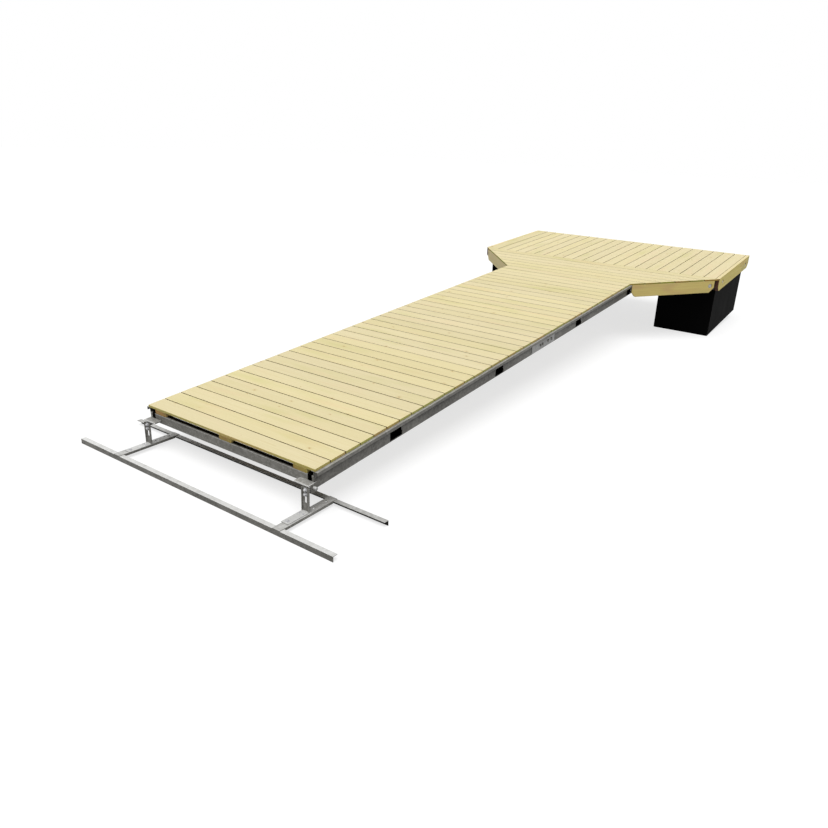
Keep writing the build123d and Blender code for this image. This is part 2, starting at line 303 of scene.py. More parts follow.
def timber_material(name, *, pale, deep, ring_share, side, warm_side, stain, knot):
    """Sawn pine. It reads three attributes: grain, a place in the tree that the timber was cut
    from, tint, the timber's own level, warmth and blueness, and cut, which tells tops, sides, ends,
    gaps and slits apart and paints shade into the gaps and the slit."""
    made, tree = new_material(name)
    grain = tree.attribute("grain", "Vector")
    level, warmth, blueness = tree.parts(tree.attribute("tint", "Vector"))
    cut = tree.attribute("cut")
    late = late_wood(tree, grain)
    streaks = tree.stretched_noise(grain, (1.6, 130, 130), 1.0, 4.0, 0.6)
    knots, halos = knots_and_halos(tree, grain, streaks)

    top = top_colour(tree, grain, late, streaks, pale, deep, ring_share)
    top = tree.mix(knots, tree.mix(halos, top, deep), knot)
    flank = flank_colour(tree, grain, late, streaks, side, warm_side, warmth, stain)
    wood = tree.mix(cut, top, tree.mix(knots, flank, knot))
    # Painted shade on faces in the gaps and in the slit.
    wood = tree.mix(tree.span(cut, END_CUT, SHADED_GAP_CUT), wood, GAP_SHADE)
    wood = tree.mix(tree.span(cut, SHADED_GAP_CUT, SHADED_SLIT_CUT), wood, SLIT_SHADE)
    level = tree.span(level, 0.0, 1.0, 0.93, 1.0)
    blue = tree.math("MULTIPLY", level, tree.span(blueness, 0.0, 1.0, 0.95, 1.04))
    shade = tree.node("ShaderNodeCombineXYZ", {0: level, 1: level, 2: blue}).outputs[0]

    rings_height = tree.math("MULTIPLY", late, 0.5)
    height = tree.math("ADD", rings_height, tree.math("MULTIPLY", streaks, 0.6))
    surface = tree.node("ShaderNodeBsdfPrincipled", {
        "Base Color": tree.mix(1.0, wood, shade, "MULTIPLY"),
        "Roughness": tree.span(streaks, 0.3, 0.7, 0.58, 0.74),
        "Specular IOR Level": 0.35,
        "Normal": tree.bump(height, 0.35, 0.0006),
    })
    tree.output(surface.outputs[0])
    return made


DECKING = timber_material(
    "pine_decking", pale=colour(234, 222, 178), deep=colour(210, 188, 126), ring_share=0.3,
    side=colour(181, 186, 68), warm_side=colour(200, 160, 68), stain=0.45,
    knot=colour(180, 142, 92),
)
EDGE_TIMBER = timber_material(
    "pine_edge_timber", pale=colour(240, 226, 182), deep=colour(214, 188, 124), ring_share=0.4,
    side=colour(232, 215, 110), warm_side=colour(246, 192, 114), stain=0.5,
    knot=colour(150, 106, 62),
)


# --- Steel and plastic materials -------------------------------------------------------------

def steel_material(name, *, pale, dull, deep, spangle):
    """Hot-dip galvanised steel: spangle, soft clouds and fine grit. It reads a face attribute of
    painted light and shade: 1 paints the tops pale, 0 leaves the sides dull and down to -1 paints
    shade, where the surface turns to dark metal so that no pale gloss lights it up."""
    made, tree = new_material(name)
    place = tree.node("ShaderNodeTexCoord").outputs["Object"]
    painted_light = tree.attribute("painted_light")
    wave = tree.noise(place, 60.0, 1.0, output="Color")
    bent = tree.vector("ADD", place, tree.vector("MULTIPLY", wave, (0.006, 0.006, 0.006)))
    crystals = tree.node("ShaderNodeTexVoronoi", {"Vector": bent, "Scale": spangle})
    flake = tree.parts(crystals.outputs["Color"])[0]
    clouds = tree.noise(place, 5.0, 4.0, 0.6)
    grit = tree.noise(place, 420.0, 2.0)
    share = tree.math("ADD", tree.math("MULTIPLY", flake, 0.34), tree.math("MULTIPLY", clouds, 0.8))
    gritty = tree.math("MULTIPLY", tree.math("SUBTRACT", grit, 0.5), 0.3)
    share = tree.math("ADD", share, gritty)
    lit = tree.math("ADD", painted_light, tree.span(share, 0.3, 0.9, -0.16, 0.16))
    zinc = tree.mix(tree.span(lit, 0.0, 1.0), dull, pale)
    zinc = tree.mix(tree.span(lit, 0.0, -1.0), zinc, deep)
    squared = tree.mix(1.0, zinc, zinc, "MULTIPLY")
    surface = tree.node("ShaderNodeBsdfPrincipled", {
        "Base Color": tree.mix(tree.span(share, 0.3, 0.9, 0.3, 0.0), zinc, squared),
        "Metallic": tree.span(lit, -0.25, -0.9, 0.15, 1.0),
        "Roughness": tree.span(share, 0.2, 0.9, 0.6, 0.42),
        "Specular IOR Level": 0.4,
        "Normal": tree.bump(grit, 0.25, 0.0004),
    })
    tree.output(surface.outputs[0])
    return made


def float_material(name):
    """Black moulded plastic with a fine leathery skin and faint scuffs."""
    made, tree = new_material(name)
    place = tree.node("ShaderNodeTexCoord").outputs["Object"]
    skin = tree.noise(place, 260.0, 3.0, 0.6)
    scuffs = tree.stretched_noise(place, (3, 3, 1), 2.2, 5.0, 0.65)
    scuffed = tree.span(scuffs, 0.5, 0.75)
    surface = tree.node("ShaderNodeBsdfPrincipled", {
        "Base Color": tree.mix(scuffed, colour(7, 7, 7), colour(12, 13, 11)),
        "Roughness": tree.span(scuffs, 0.3, 0.7, 0.7, 0.8),
        "Specular IOR Level": 0.02,
        "Normal": tree.bump(skin, 0.3, 0.0006),
    })
    tree.output(surface.outputs[0])
    return made


# Each steel's colours: pale is painted light on tops and rims, dull the plain sides and deep
# painted shade.
STEEL = steel_material(
    "galvanised_steel", pale=colour(226, 226, 224), dull=colour(128, 126, 120),
    deep=colour(16, 15, 14), spangle=60.0,
)
BRIGHT_STEEL = steel_material(
    "new_galvanised_steel", pale=colour(214, 214, 212), dull=colour(176, 176, 174),
    deep=colour(60, 60, 58), spangle=60.0,
)
BOLT_STEEL = steel_material(
    "zinc_plated_bolts", pale=colour(228, 228, 226), dull=colour(206, 206, 208),
    deep=colour(120, 120, 120), spangle=200.0,
)
FLOAT_PLASTIC = float_material("float_plastic")


# --- Making pieces ---------------------------------------------------------------------------

# Corners of a CAD mesh are welded within this distance, faces joined within this angle, and
# edges rounded beyond this angle, which the facets of its bends don't reach.
WELD = 1e-6
FLAT_ANGLE = 0.01
SHARP_ANGLE = 0.5

# How far a timber may lie from its tree's pith: along the grain, to the side and up.
PITH_SPANS = ((0, 40), (-0.05, 0.05), (-0.09, 0.06))


def finish_piece(name, shape, material, body, replaced=()):
    """Turns a shape into a named piece that rides on its body."""
    mesh = bpy.data.meshes.new(name)
    shape.to_mesh(mesh)
    shape.free()
    mesh.materials.append(material)
    piece = bpy.data.objects.new(name, mesh)
    bpy.context.scene.collection.objects.link(piece)
    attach(piece, body)
    if replaced:
        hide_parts(*replaced)


def cad_shape(node):
    """A CAD node's own shape, welded, with its flat faces whole."""
    shape = bmesh.new()
    shape.from_mesh(nodes[node].data)
    bmesh.ops.remove_doubles(shape, verts=shape.verts[:], dist=WELD)
    bmesh.ops.dissolve_limit(
        shape, angle_limit=FLAT_ANGLE, verts=shape.verts[:], edges=shape.edges[:]
    )
    return shape


def round_edges(shape, edges, radius, segments=2, clamp=False):
    """Rounds these edges. With clamp the radius gives way where there is no room for it."""
    bmesh.ops.bevel(
        shape, geom=edges, offset=radius, segments=segments, profile=0.5, affect="EDGES",
        clamp_overlap=clamp,
    )


def round_sharp_edges(shape, radius):
    """Rounds the sharp edges of a CAD shape."""
    sharp = [e for e in shape.edges if e.is_manifold and e.calc_face_angle(0.0) > SHARP_ANGLE]
    round_edges(shape, sharp, radius, clamp=True)


def timber_layers(shape):
    """Adds the attributes that the timber materials read."""
    return (
        shape.verts.layers.float_vector.new("grain"),
        shape.verts.layers.float_vector.new("tint"),
        shape.faces.layers.float.new("cut"),
    )


def mark_grain(shape, place, rng, tint=None, side_cut=SIDE_CUT, end_cut=END_CUT):
    """Gives a timber what its material reads. Its own x runs along the grain, and place is where
    it goes. side_cut and end_cut are numbers, or give one for a face."""
    grain, tints, cuts = timber_layers(shape)
    pith = Vector([rng.uniform(*span) for span in PITH_SPANS])
    chance = Vector([rng.random() for _ in range(3)])
    for vert in shape.verts:
        vert[grain] = vert.co + pith
        vert[tints] = chance if tint is None else tint
    up = place.to_3x3().inverted() @ DECK.to_3x3() @ Vector((0, 0, 1))
    for face in shape.faces:
        cut = end_cut if abs(face.normal.x) > MOSTLY else side_cut
        if face.normal.dot(up) > MOSTLY:
            cut = 0.0
        face[cuts] = cut(face) if callable(cut) else cut


# --- Boards and battens ----------------------------------------------------------------------

# The deck's boards, which the frame has as slabs, and how far each strays from its place.
BOARDS_PER_SECTION = 22
TAPER_BOARDS = 6
HEAD_BOARDS = 22
BOARD_GAP = 0.006
BOARD_ARRIS = 0.0025
SIDE_STRAY = 0.0008
TOP_STRAY = 0.0008
END_STRAY = 0.0025
HEAD_START_STRAY = 0.001
HEAD_END_STRAY = 0.002
# The head's boards reach this far into the gap before them.
HEAD_REACH = 0.0045

BATTEN_WIDTH = 0.120
TIMBER_ARRIS = 0.004

# The cut of sawn ends. Above END_CUT it adds painted shade, most on the battens' ends under the
# boards.
BOARD_END_CUT = 0.75
TAPER_END_CUT = 1.3
BATTEN_END_CUT = 1.6


def timber_target():
    """An empty shape with the attributes that every timber carries."""
    target = bmesh.new()
    timber_layers(target)
    return target


def timber(target, outline, thickness, place, rng, arris, **cuts):
    """Adds one timber to target: outline is its face, whose x runs along the grain, and its
    thickness goes down from there."""
    shape = bmesh.new()
    top = [shape.verts.new((x, y, 0)) for x, y in outline]
    low = [shape.verts.new((x, y, -thickness)) for x, y in outline]
    shape.faces.new(top)
    shape.faces.new(list(reversed(low)))
    for i in range(len(outline)):
        j = (i + 1) % len(outline)
        shape.faces.new((top[i], low[i], low[j], top[j]))
    bmesh.ops.recalc_face_normals(shape, faces=shape.faces[:])
    round_edges(shape, shape.edges[:], arris)
    mark_grain(shape, place, rng, **cuts)
    bmesh.ops.transform(shape, matrix=place, verts=shape.verts)
    single = bpy.data.meshes.new("timber")
    shape.to_mesh(single)
    shape.free()
    target.from_mesh(single)
    bpy.data.meshes.remove(single)


def rectangle(x0, x1, y0, y1):
    """The corners of a rectangle."""
    return [(x0, y0), (x1, y0), (x1, y1), (x0, y1)]


def shore_side_cut(face):
    """The cut of the first board's sides: its shore side is seen, the other is in a gap and takes
    painted shade.
    """
    return SIDE_CUT if face.normal.y > 0 else SHADED_GAP_CUT


def half_widths(node):
    """Half a deck's width at its shore end and at its head end, and its box."""
    low, high = deck_box(node)
    corners = deck_corners(node)
    start = max(c.y for c in corners if c.x < low.x + SAME_PLACE)
    end = max(c.y for c in corners if c.x > high.x - SAME_PLACE)
    return start, end, low, high


def cross_boards(name, node, count, seed, end_cut):
    """Boards across the walkway, cut to the deck's edges."""
    rng = random.Random(seed)
    start_half, end_half, low, high = half_widths(node)
    pitch = (high.x - low.x + BOARD_GAP) / count

    def half(x):
        return start_half + (x - low.x) / (high.x - low.x) * (end_half - start_half)

    target = timber_target()
    for i in range(count):
        x0 = low.x + i * pitch + (rng.uniform(0, SIDE_STRAY) if i else 0.0)
        x1 = low.x + (i + 1) * pitch - BOARD_GAP - rng.uniform(0, SIDE_STRAY)
        left = rng.uniform(0, END_STRAY)
        right = rng.uniform(0, END_STRAY)
        drop = rng.uniform(0, TOP_STRAY)
        middle = (x0 + x1) / 2
        outline = [
            (right - half(x0), middle - x0), (right - half(x1), middle - x1),
            (half(x1) - left, middle - x1), (half(x0) - left, middle - x0),
        ]
        place = DECK @ frame_of((middle, 0, -drop), (0, 1, 0), (-1, 0, 0))
        first = i == 0 and node == "near_deck"
        # Sides in the gaps, and undersides, take painted shade.
        timber(
            target, outline, high.z - low.z - drop, place, rng, BOARD_ARRIS,
            side_cut=shore_side_cut if first else SHADED_GAP_CUT, end_cut=end_cut,
        )
    finish_piece(name, target, DECKING, "jetty", [node])


def long_boards(name, node, count, seed):
    """Boards along the head."""
    rng = random.Random(seed)
    low, high = deck_box(node)
    pitch = (high.y - low.y + BOARD_GAP) / count
    target = timber_target()
    for i in range(count):
        y0 = low.y + i * pitch + rng.uniform(0, SIDE_STRAY)
        y1 = low.y + (i + 1) * pitch - BOARD_GAP - rng.uniform(0, SIDE_STRAY)
        x0 = low.x - HEAD_REACH + rng.uniform(0, HEAD_START_STRAY)
        x1 = high.x - rng.uniform(0, HEAD_END_STRAY)
        drop = rng.uniform(0, TOP_STRAY)
        middle = (y0 + y1) / 2
        place = DECK @ frame_of((0, middle, -drop), (1, 0, 0), (0, 1, 0))
        # Sides in the gaps, and undersides, take painted shade.
        timber(
            target, rectangle(x0, x1, y0 - middle, y1 - middle), high.z - low.z - drop, place,
            rng, BOARD_ARRIS, side_cut=SHADED_GAP_CUT,
        )
    finish_piece(name, target, DECKING, "jetty", [node])


def batten_timbers(name, node, seed):
    """The three lengthwise battens under a section's boards."""
    rng = random.Random(seed)
    low, high = deck_box(node)
    half = BATTEN_WIDTH / 2
    target = timber_target()
    for middle in (low.y + half, 0.0, high.y - half):
        place = DECK @ frame_of((0, middle, high.z), (1, 0, 0), (0, 1, 0))
        timber(
            target, rectangle(low.x, high.x, -half, half), high.z - low.z, place, rng,
            TIMBER_ARRIS, end_cut=BATTEN_END_CUT,
        )
    finish_piece(name, target, EDGE_TIMBER, "jetty", [node])


cross_boards("near_boards", "near_deck", BOARDS_PER_SECTION, 11, BOARD_END_CUT)
cross_boards("far_boards", "far_deck", BOARDS_PER_SECTION - TAPER_BOARDS, 23, BOARD_END_CUT)
cross_boards("taper_boards", "taper_deck", TAPER_BOARDS, 37, TAPER_END_CUT)
long_boards("head_boards", "head_deck", HEAD_BOARDS, 41)
batten_timbers("near_batten_timbers", "near_battens", 51)
batten_timbers("far_batten_timbers", "far_battens", 53)


# --- Fascias ---------------------------------------------------------------------------------

RECESS_RADIUS = 0.029
RECESS_DEPTH = 0.012

# Where the bolts are sunk: along the timber from its start, and up from the deck's top.
SIDE_BOLTS_AT = ((0.221, -0.080), (1.546, -0.104))
ANGLED_BOLTS_AT = ((1.092, -0.086),)

# Each one's level, warmth and blueness.
SIDE_TINT = Vector((0.5, 0.1, 0.1))
ANGLED_TINT = Vector((1.0, 0.5, 0.4))
BACK_TINT = Vector((0.5, 0.3, 0.4))

# The left angled timber turns away from the light, so its sides take more of a top's pale colour:
# painted light.
ANGLED_CUT = {"left": 0.2, "right": 0.7}


def drilled(shape, places):
    """The same shape with a round recess at each place, whose z points out of it."""
    tool = bmesh.new()
    for place in places:
        made = bmesh.ops.create_cone(
            tool, cap_ends=True, segments=40, radius1=RECESS_RADIUS, radius2=RECESS_RADIUS,
            depth=2 * RECESS_DEPTH,
        )
        bmesh.ops.transform(tool, matrix=place, verts=made["verts"])
    pair = []
    for name, part in (("drilled", shape), ("drill", tool)):
        mesh = bpy.data.meshes.new(name)
        part.to_mesh(mesh)
        part.free()
        pair.append(bpy.data.objects.new(name, mesh))
        bpy.context.scene.collection.objects.link(pair[-1])
    cut = pair[0].modifiers.new("cut", "BOOLEAN")
    cut.object = pair[1]
    cut.solver = "EXACT"
    shaped = pair[0].evaluated_get(bpy.context.evaluated_depsgraph_get())
    result = bmesh.new()
    result.from_mesh(shaped.to_mesh())
    shaped.to_mesh_clear()
    for part in pair:
        mesh = part.data
        bpy.data.objects.remove(part)
        bpy.data.meshes.remove(mesh)
    return result


def fascia(name, node, along, out, seed, tint, bolts_at=(), **cuts):
    """A fascia timber in its CAD node's own shape, with its arrises rounded and a recess for
    each bolt. Returns the recesses' places."""
    along = Vector(along).normalized()
    out = Vector(out).normalized()
    corners = deck_corners(node)
    face_at = max(c.dot(out) for c in corners)
    start = min(c.dot(along) for c in corners if c.dot(out) > face_at - SAME_PLACE)
    bolt_places = [
        DECK @ facing(out * face_at + along * (start + x) + Vector((0, 0, z)), out)
        for x, z in bolts_at
    ]
    shape = cad_shape(node)
    round_sharp_edges(shape, TIMBER_ARRIS)
    if bolt_places:
        shape = drilled(shape, bolt_places)
    place = DECK @ frame_of(out * face_at + along * start, along, (0, 0, 1))
    bmesh.ops.transform(shape, matrix=place.inverted(), verts=shape.verts)
    shape.normal_update()
    mark_grain(shape, place, random.Random(seed), tint, **cuts)
    bmesh.ops.transform(shape, matrix=place, verts=shape.verts)
    finish_piece(name, shape, EDGE_TIMBER, "jetty", [node])
    return bolt_places


def slit_end_cut(face):
    """The cut of a side timber's ends: its shore end stands in the slit by the angled timber and
    takes painted shade.
    """
    return SHADED_SLIT_CUT if face.normal.x < 0 else END_CUT


def taper_direction():
    """The direction of the deck's left edge along its taper."""
    start_half, end_half, low, high = half_widths("taper_deck")
    return Vector((high.x - low.x, end_half - start_half, 0)).normalized()


TAPER = taper_direction()
recesses = {}
for side, sign in SIDES:
    recesses[side] = fascia(
        f"side_timber_{side}", f"side_fascia_{side}", along=(1, 0, 0), out=(0, sign, 0),
        seed=61 + sign, tint=SIDE_TINT, bolts_at=SIDE_BOLTS_AT, end_cut=slit_end_cut,
    ) + fascia(
        f"angled_timber_{side}", f"angled_fascia_{side}", along=(TAPER.x, sign * TAPER.y, 0),
        out=(-TAPER.y, sign * TAPER.x, 0), seed=71 + sign, tint=ANGLED_TINT,
        bolts_at=ANGLED_BOLTS_AT, side_cut=ANGLED_CUT[side],
    )
fascia("back_timber", "back_fascia", along=(0, 1, 0), out=(1, 0, 0), seed=81, tint=BACK_TINT)


# --- Bolts -----------------------------------------------------------------------------------

# Each bolt's size, from its middle to a flat, and its washer's radius.
TIMBER_BOLT = (0.013, 0.026)
SPLICE_BOLT = (0.0105, 0.015)
LEG_BOLT = (0.0105, 0.014)
FOOT_BOLT = (0.0095, 0.015)
SMALL_FOOT_BOLT = (0.0065, 0.009)
LEG_BOLT_DOME = 0.010

# A washer's height is a share of its radius, its shoulder of its height and its chamfer of its
# radius.
WASHER_HEIGHT = 0.1
WASHER_SHOULDER = 0.8
WASHER_CHAMFER = 0.97
WASHER_CORNERS = 32
# A head's height, its shoulder and its dome's radius are shares of its size, and its chamfer of
# its own radius.
HEAD_HEIGHT = 0.7
HEAD_SHOULDER = 0.62
HEAD_CHAMFER = 0.9
DOME_RADIUS = 0.95
DOME_CORNERS = 24

# Places along a splice plate, from its shore end.
SPLICE_BOLTS_AT = (0.182, 0.232, 0.352, 0.427)
# Depths below the hinge, in a leg's channel, whose plate is so thick.
LEG_BOLTS_BELOW = (0.008, 0.040)
LEG_PLATE = 0.004
# Places on a foot plate: from the hinge towards the head, and to the left of its middle.
FOOT_BOLTS_AT = ((-0.208, 0),)
SMALL_FOOT_BOLTS_AT = ((-0.083, -0.016), (-0.083, 0.016))


def ring(target, place, radius, z, count):
    """A ring of new corners round place's z."""
    step = 2 * math.pi / count
    return [
        target.verts.new(place @ Vector((
            radius * math.cos(i * step), radius * math.sin(i * step), z
        )))
        for i in range(count)
    ]


def stack(target, rings):
    """Closes rings of as many corners each, from the lowest to the highest, into a solid."""
    for a, b in zip(rings, rings[1:]):
        for i in range(len(a)):
            j = (i + 1) % len(a)
            target.faces.new((a[i], a[j], b[j], b[i]))
    target.faces.new(rings[-1])
    target.faces.new(list(reversed(rings[0])))


def hex_bolt(target, place, size, washer, dome):
    """Adds a hexagon head on a washer, whose z points out of what it holds. With a dome it is a
    cap nut."""
    seat = washer * WASHER_HEIGHT
    top = seat + size * HEAD_HEIGHT
    radius = size / math.cos(math.pi / 6)
    stack(target, [
        ring(target, place, washer, 0, WASHER_CORNERS),
        ring(target, place, washer, seat * WASHER_SHOULDER, WASHER_CORNERS),
        ring(target, place, washer * WASHER_CHAMFER, seat, WASHER_CORNERS),
    ])
    stack(target, [
        ring(target, place, radius, seat, 6),
        ring(target, place, radius, seat + size * HEAD_SHOULDER, 6),
        ring(target, place, radius * HEAD_CHAMFER, top, 6),
    ])
    if dome:
        across = size * DOME_RADIUS
        angles = [math.radians(15 * i) for i in range(6)]
        stack(target, [
            ring(target, place, across * math.cos(a), top + dome * math.sin(a), DOME_CORNERS)
            for a in angles
        ])


def bolts(name, places, sizes, body, dome=0.0, material=BOLT_STEEL):
    """One piece of several like bolt heads."""
    size, washer = sizes
    target = bmesh.new()
    for place in places:
        hex_bolt(target, place, size, washer, dome)
    finish_piece(name, target, material, body)


def splice_bolt_places(side, sign):
    """Four in a row on the outside of a splice plate."""
    low, high = deck_box(f"splice_plate_{side}")
    outside = high.y if sign > 0 else low.y
    middle = (low.z + high.z) / 2
    return [
        DECK @ facing((low.x + x, outside, middle), (0, sign, 0)) for x in SPLICE_BOLTS_AT
    ]


def leg_bolt_places(side):
    """Two above each other in a leg's channel, which is open to the shore."""
    low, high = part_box(f"leg_{side}")
    middle = (low.y + high.y) / 2
    return [
        facing((high.x - LEG_PLATE, middle, HINGE.z - drop), (-1, 0, 0))
        for drop in LEG_BOLTS_BELOW
    ]


def foot_bolt_places(side, spots):
    """On top of a foot plate."""
    low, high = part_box(f"foot_plate_{side}")
    middle = (low.y + high.y) / 2
    return [facing((HINGE.x + x, middle + y, high.z), (0, 0, 1)) for x, y in spots]


SUNK = Matrix.Translation((0, 0, -RECESS_DEPTH))
for side, sign in SIDES:
    sunk_places = [place @ SUNK for place in recesses[side]]
    bolts(f"timber_bolts_{side}", sunk_places, TIMBER_BOLT, "jetty")
    # The splice bolts take the duller galvanised steel so that they stand dark on the plate as
    # painted shade.
    bolts(
        f"splice_bolts_{side}", splice_bolt_places(side, sign), SPLICE_BOLT, "jetty",
        material=STEEL,
    )
    bolts(
        f"leg_bolts_{side}", leg_bolt_places(side), LEG_BOLT, "shore_frame", LEG_BOLT_DOME
    )
    bolts(
        f"foot_bolts_{side}", foot_bolt_places(side, FOOT_BOLTS_AT), FOOT_BOLT, "shore_frame"
    )
    bolts(
        f"small_foot_bolts_{side}", foot_bolt_places(side, SMALL_FOOT_BOLTS_AT),
        SMALL_FOOT_BOLT, "shore_frame",
    )


# --- Steel pieces ----------------------------------------------------------------------------

# A look gives, for a node, the painted light and shade of each face, and the planes that part the
# faces where it changes, each a point and a direction. 1 is pale painted light, 0 dull and -1 or
# less painted shade.

STEEL_ARRIS = 0.0012
SIDE_BEAM_ARRIS = 0.0015
PLATE_ARRIS = 0.0008

# A side beam's flange: its outer part is beyond this distance from the middle, and all of it above
# this depth. Then the painted light and shade of its outer part: on top, on its lip and under it.
FLANGE_FROM = 0.853
FLANGE_DEPTH = 0.030
FLANGE_TOP = 0.3
FLANGE_LIP = -0.12
FLANGE_BELOW = -0.6
# The painted shade on its web, darkest just below its lip and fading down to its lower edge: depths
# below the deck's top.
WEB_SHADES = (
    (0.080, -0.66), (0.088, -0.52), (0.098, -0.38), (0.110, -0.27), (0.125, -0.2), (0.200, -0.17),
)

# The painted shade inside a rail, from its foot up to its flange: heights above the floor.
RAIL_SHADES = ((0.005, -1.05), (0.014, -0.86), (0.023, -0.98), (0.100, -1.3))
# The painted light on the rails' tops, less on the rear rail's, and the slight painted shade on
# their other faces.
FRONT_RAIL_TOP = 1.0
REAR_RAIL_TOP = 0.6
RAIL_OUTSIDE = -0.2

# The rims of a hinge bracket that take a painted highlight: at its outer side, at its front and on
# its ear's top.
BRACKET_SIDE_RIM = 0.0065
BRACKET_FRONT_RIM = 0.006
BRACKET_EAR_TOP = 0.016
# The painted highlight on the rims, painted light on the top and slight painted shade on the sides.
RIM_HIGHLIGHT = 0.9
BRACKET_TOP = 0.28
BRACKET_SIDES = -0.12

# The tubes: their widths, and how far in from their faces their inside starts.
CROSS_BEAM_WIDTH = 0.150
END_BEAM_WIDTH = 0.045
TUBE_WALL = 0.002
# The painted shade inside a tube.
TUBE_INSIDE_SHADE = -1.0
# An end beam's flat top and its upper bend, as depths below its top, the strip of the top that
# the boards don't shade, and the slots in its front, as distances from the middle.
TUBE_TOP = 0.0005
TUBE_BEND = 0.004
TUBE_STRIP = 0.012
TUBE_SLOT = (0.791, 0.827)
# Painted shade on the top and round the slots, slight painted light on the strip and a painted
# highlight on the bend.
DEEP_SHADE = -1.2
STRIP_LIGHT = 0.1
BEND_HIGHLIGHT = 0.5


def on_tops(face):
    """The share of painted top light: 1 on faces that look up and 0 on sides."""
    return max(0.0, min(1.0, face.normal.z * 1.6 - 0.3))


def deck_middle(face):
    """A face's middle in the deck's frame."""
    return TO_DECK @ face.calc_center_median()


def deck_plane(point, across):
    """A plane given in the deck's frame."""
    return DECK @ Vector(point), DECK.to_3x3() @ Vector(across)


def even_look(sides, tops):
    """Painted light at the level sides all round, below 0 painted shade, and paler by tops on faces
    that look up: painted top light.
    """
    def look(node):
        return (lambda face: sides + tops * on_tops(face)), []
    return look


def side_beam_look(node):
    """Painted light on the flange outside the boards and slight painted shade on its lip; painted
    shade on the web below it, darkest just under the lip.
    """
    def painted_light(face):
        at = deck_middle(face)
        if abs(at.y) > FLANGE_FROM:
            if face.normal.z > MOSTLY:
                return FLANGE_TOP
            return FLANGE_BELOW if face.normal.z < -MOSTLY else FLANGE_LIP
        if at.z > -FLANGE_DEPTH:
            return 0.0
        return next(shade for depth, shade in WEB_SHADES if -at.z < depth)

    return painted_light, [deck_plane((0, 0, -depth), (0, 0, 1)) for depth, _ in WEB_SHADES]


def rail_look(node):
    """Painted light on top, the rear rail less so, and slight painted shade outside. Painted shade
    inside the angle, darkest below its flange."""
    low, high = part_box(node)
    middle = (low.x + high.x) / 2
    top = FRONT_RAIL_TOP if middle < HINGE.x else REAR_RAIL_TOP

    def painted_light(face):
        at = face.calc_center_median()
        if face.normal.z > MOSTLY:
            return top
        inward = face.normal.x * (middle - at.x) > 0 and abs(face.normal.x) > MOSTLY
        if inward or face.normal.z < -MOSTLY:
            return next(shade for height, shade in RAIL_SHADES if at.z < height)
        return RAIL_OUTSIDE

    return painted_light, [(Vector((0, 0, height)), Vector((0, 0, 1))) for height, _ in RAIL_SHADES]


def bracket_look(node):
    """A hinge bracket: painted highlights on its plate's outer edges and its ear's top edge,
    painted light on its top and slight painted shade on its sides.
    """
    low, high = deck_box(node)
    side = max(-low.y, high.y) - BRACKET_SIDE_RIM
    front = low.x + BRACKET_FRONT_RIM
    ear_top = high.z - BRACKET_EAR_TOP

    def painted_light(face):
        at = deck_middle(face)
        if face.normal.z > MOSTLY:
            return RIM_HIGHLIGHT if abs(at.y) > side or at.x < front else BRACKET_TOP
        return RIM_HIGHLIGHT if face.normal.x < -MOSTLY and at.z > ear_top else BRACKET_SIDES

    return painted_light, [
        deck_plane((0, math.copysign(side, low.y), 0), (0, 1, 0)),
        deck_plane((front, 0, 0), (1, 0, 0)),
        deck_plane((0, 0, ear_top), (0, 0, 1)),
    ]


def tube_shade(at, low, high, width):
    """Painted shade inside a tube of this width. One starts at low's x, and one ends at high's."""
    half = width / 2
    centres = (round(low.x, 4) + half, round(high.x, 4) - half)
    off_centre = min(abs(centre - at.x) for centre in centres)
    in_height = low.z + TUBE_WALL < at.z < high.z - TUBE_WALL
    return TUBE_INSIDE_SHADE if in_height and off_centre < half - TUBE_WALL else 0.0


def cross_beam_look(node):
    """The two tubes of a walkway section, with painted shade inside."""
    low, high = deck_box(node)
    return (lambda face: tube_shade(deck_middle(face), low, high, CROSS_BEAM_WIDTH)), []


def end_beam_look(node):
    """A tube with painted shade inside, round the slots in its front and on its top in the shade of
    the boards, all but a strip at its front, which takes slight painted light. A painted highlight
    on its upper bend."""
    low, high = deck_box(node)
    front = low.x + TUBE_STRIP
    bend = high.z - TUBE_BEND

    def painted_light(face):
        at = deck_middle(face)
        if at.x < front and TUBE_SLOT[0] < abs(at.y) < TUBE_SLOT[1]:
            return DEEP_SHADE
        if at.z > high.z - TUBE_TOP:
            return DEEP_SHADE if at.x > front else STRIP_LIGHT
        if at.z > bend:
            return BEND_HIGHLIGHT
        return tube_shade(at, low, high, END_BEAM_WIDTH)

    planes = [deck_plane((0, 0, bend), (0, 0, 1)), deck_plane((front, 0, 0), (1, 0, 0))]
    if node == "near_shore_end_beam":
        planes += [
            deck_plane((0, sign * offset, 0), (0, 1, 0))
            for _, sign in SIDES for offset in TUBE_SLOT
        ]
    return painted_light, planes


# Looks that paint light on the tops; shaded_look paints shade all round.
top_lit_look = even_look(0.0, 1.0)
shaded_look = even_look(-0.7, 0.0)
leg_look = even_look(0.08, 0.2)
base_bar_look = even_look(0.0, 0.68)

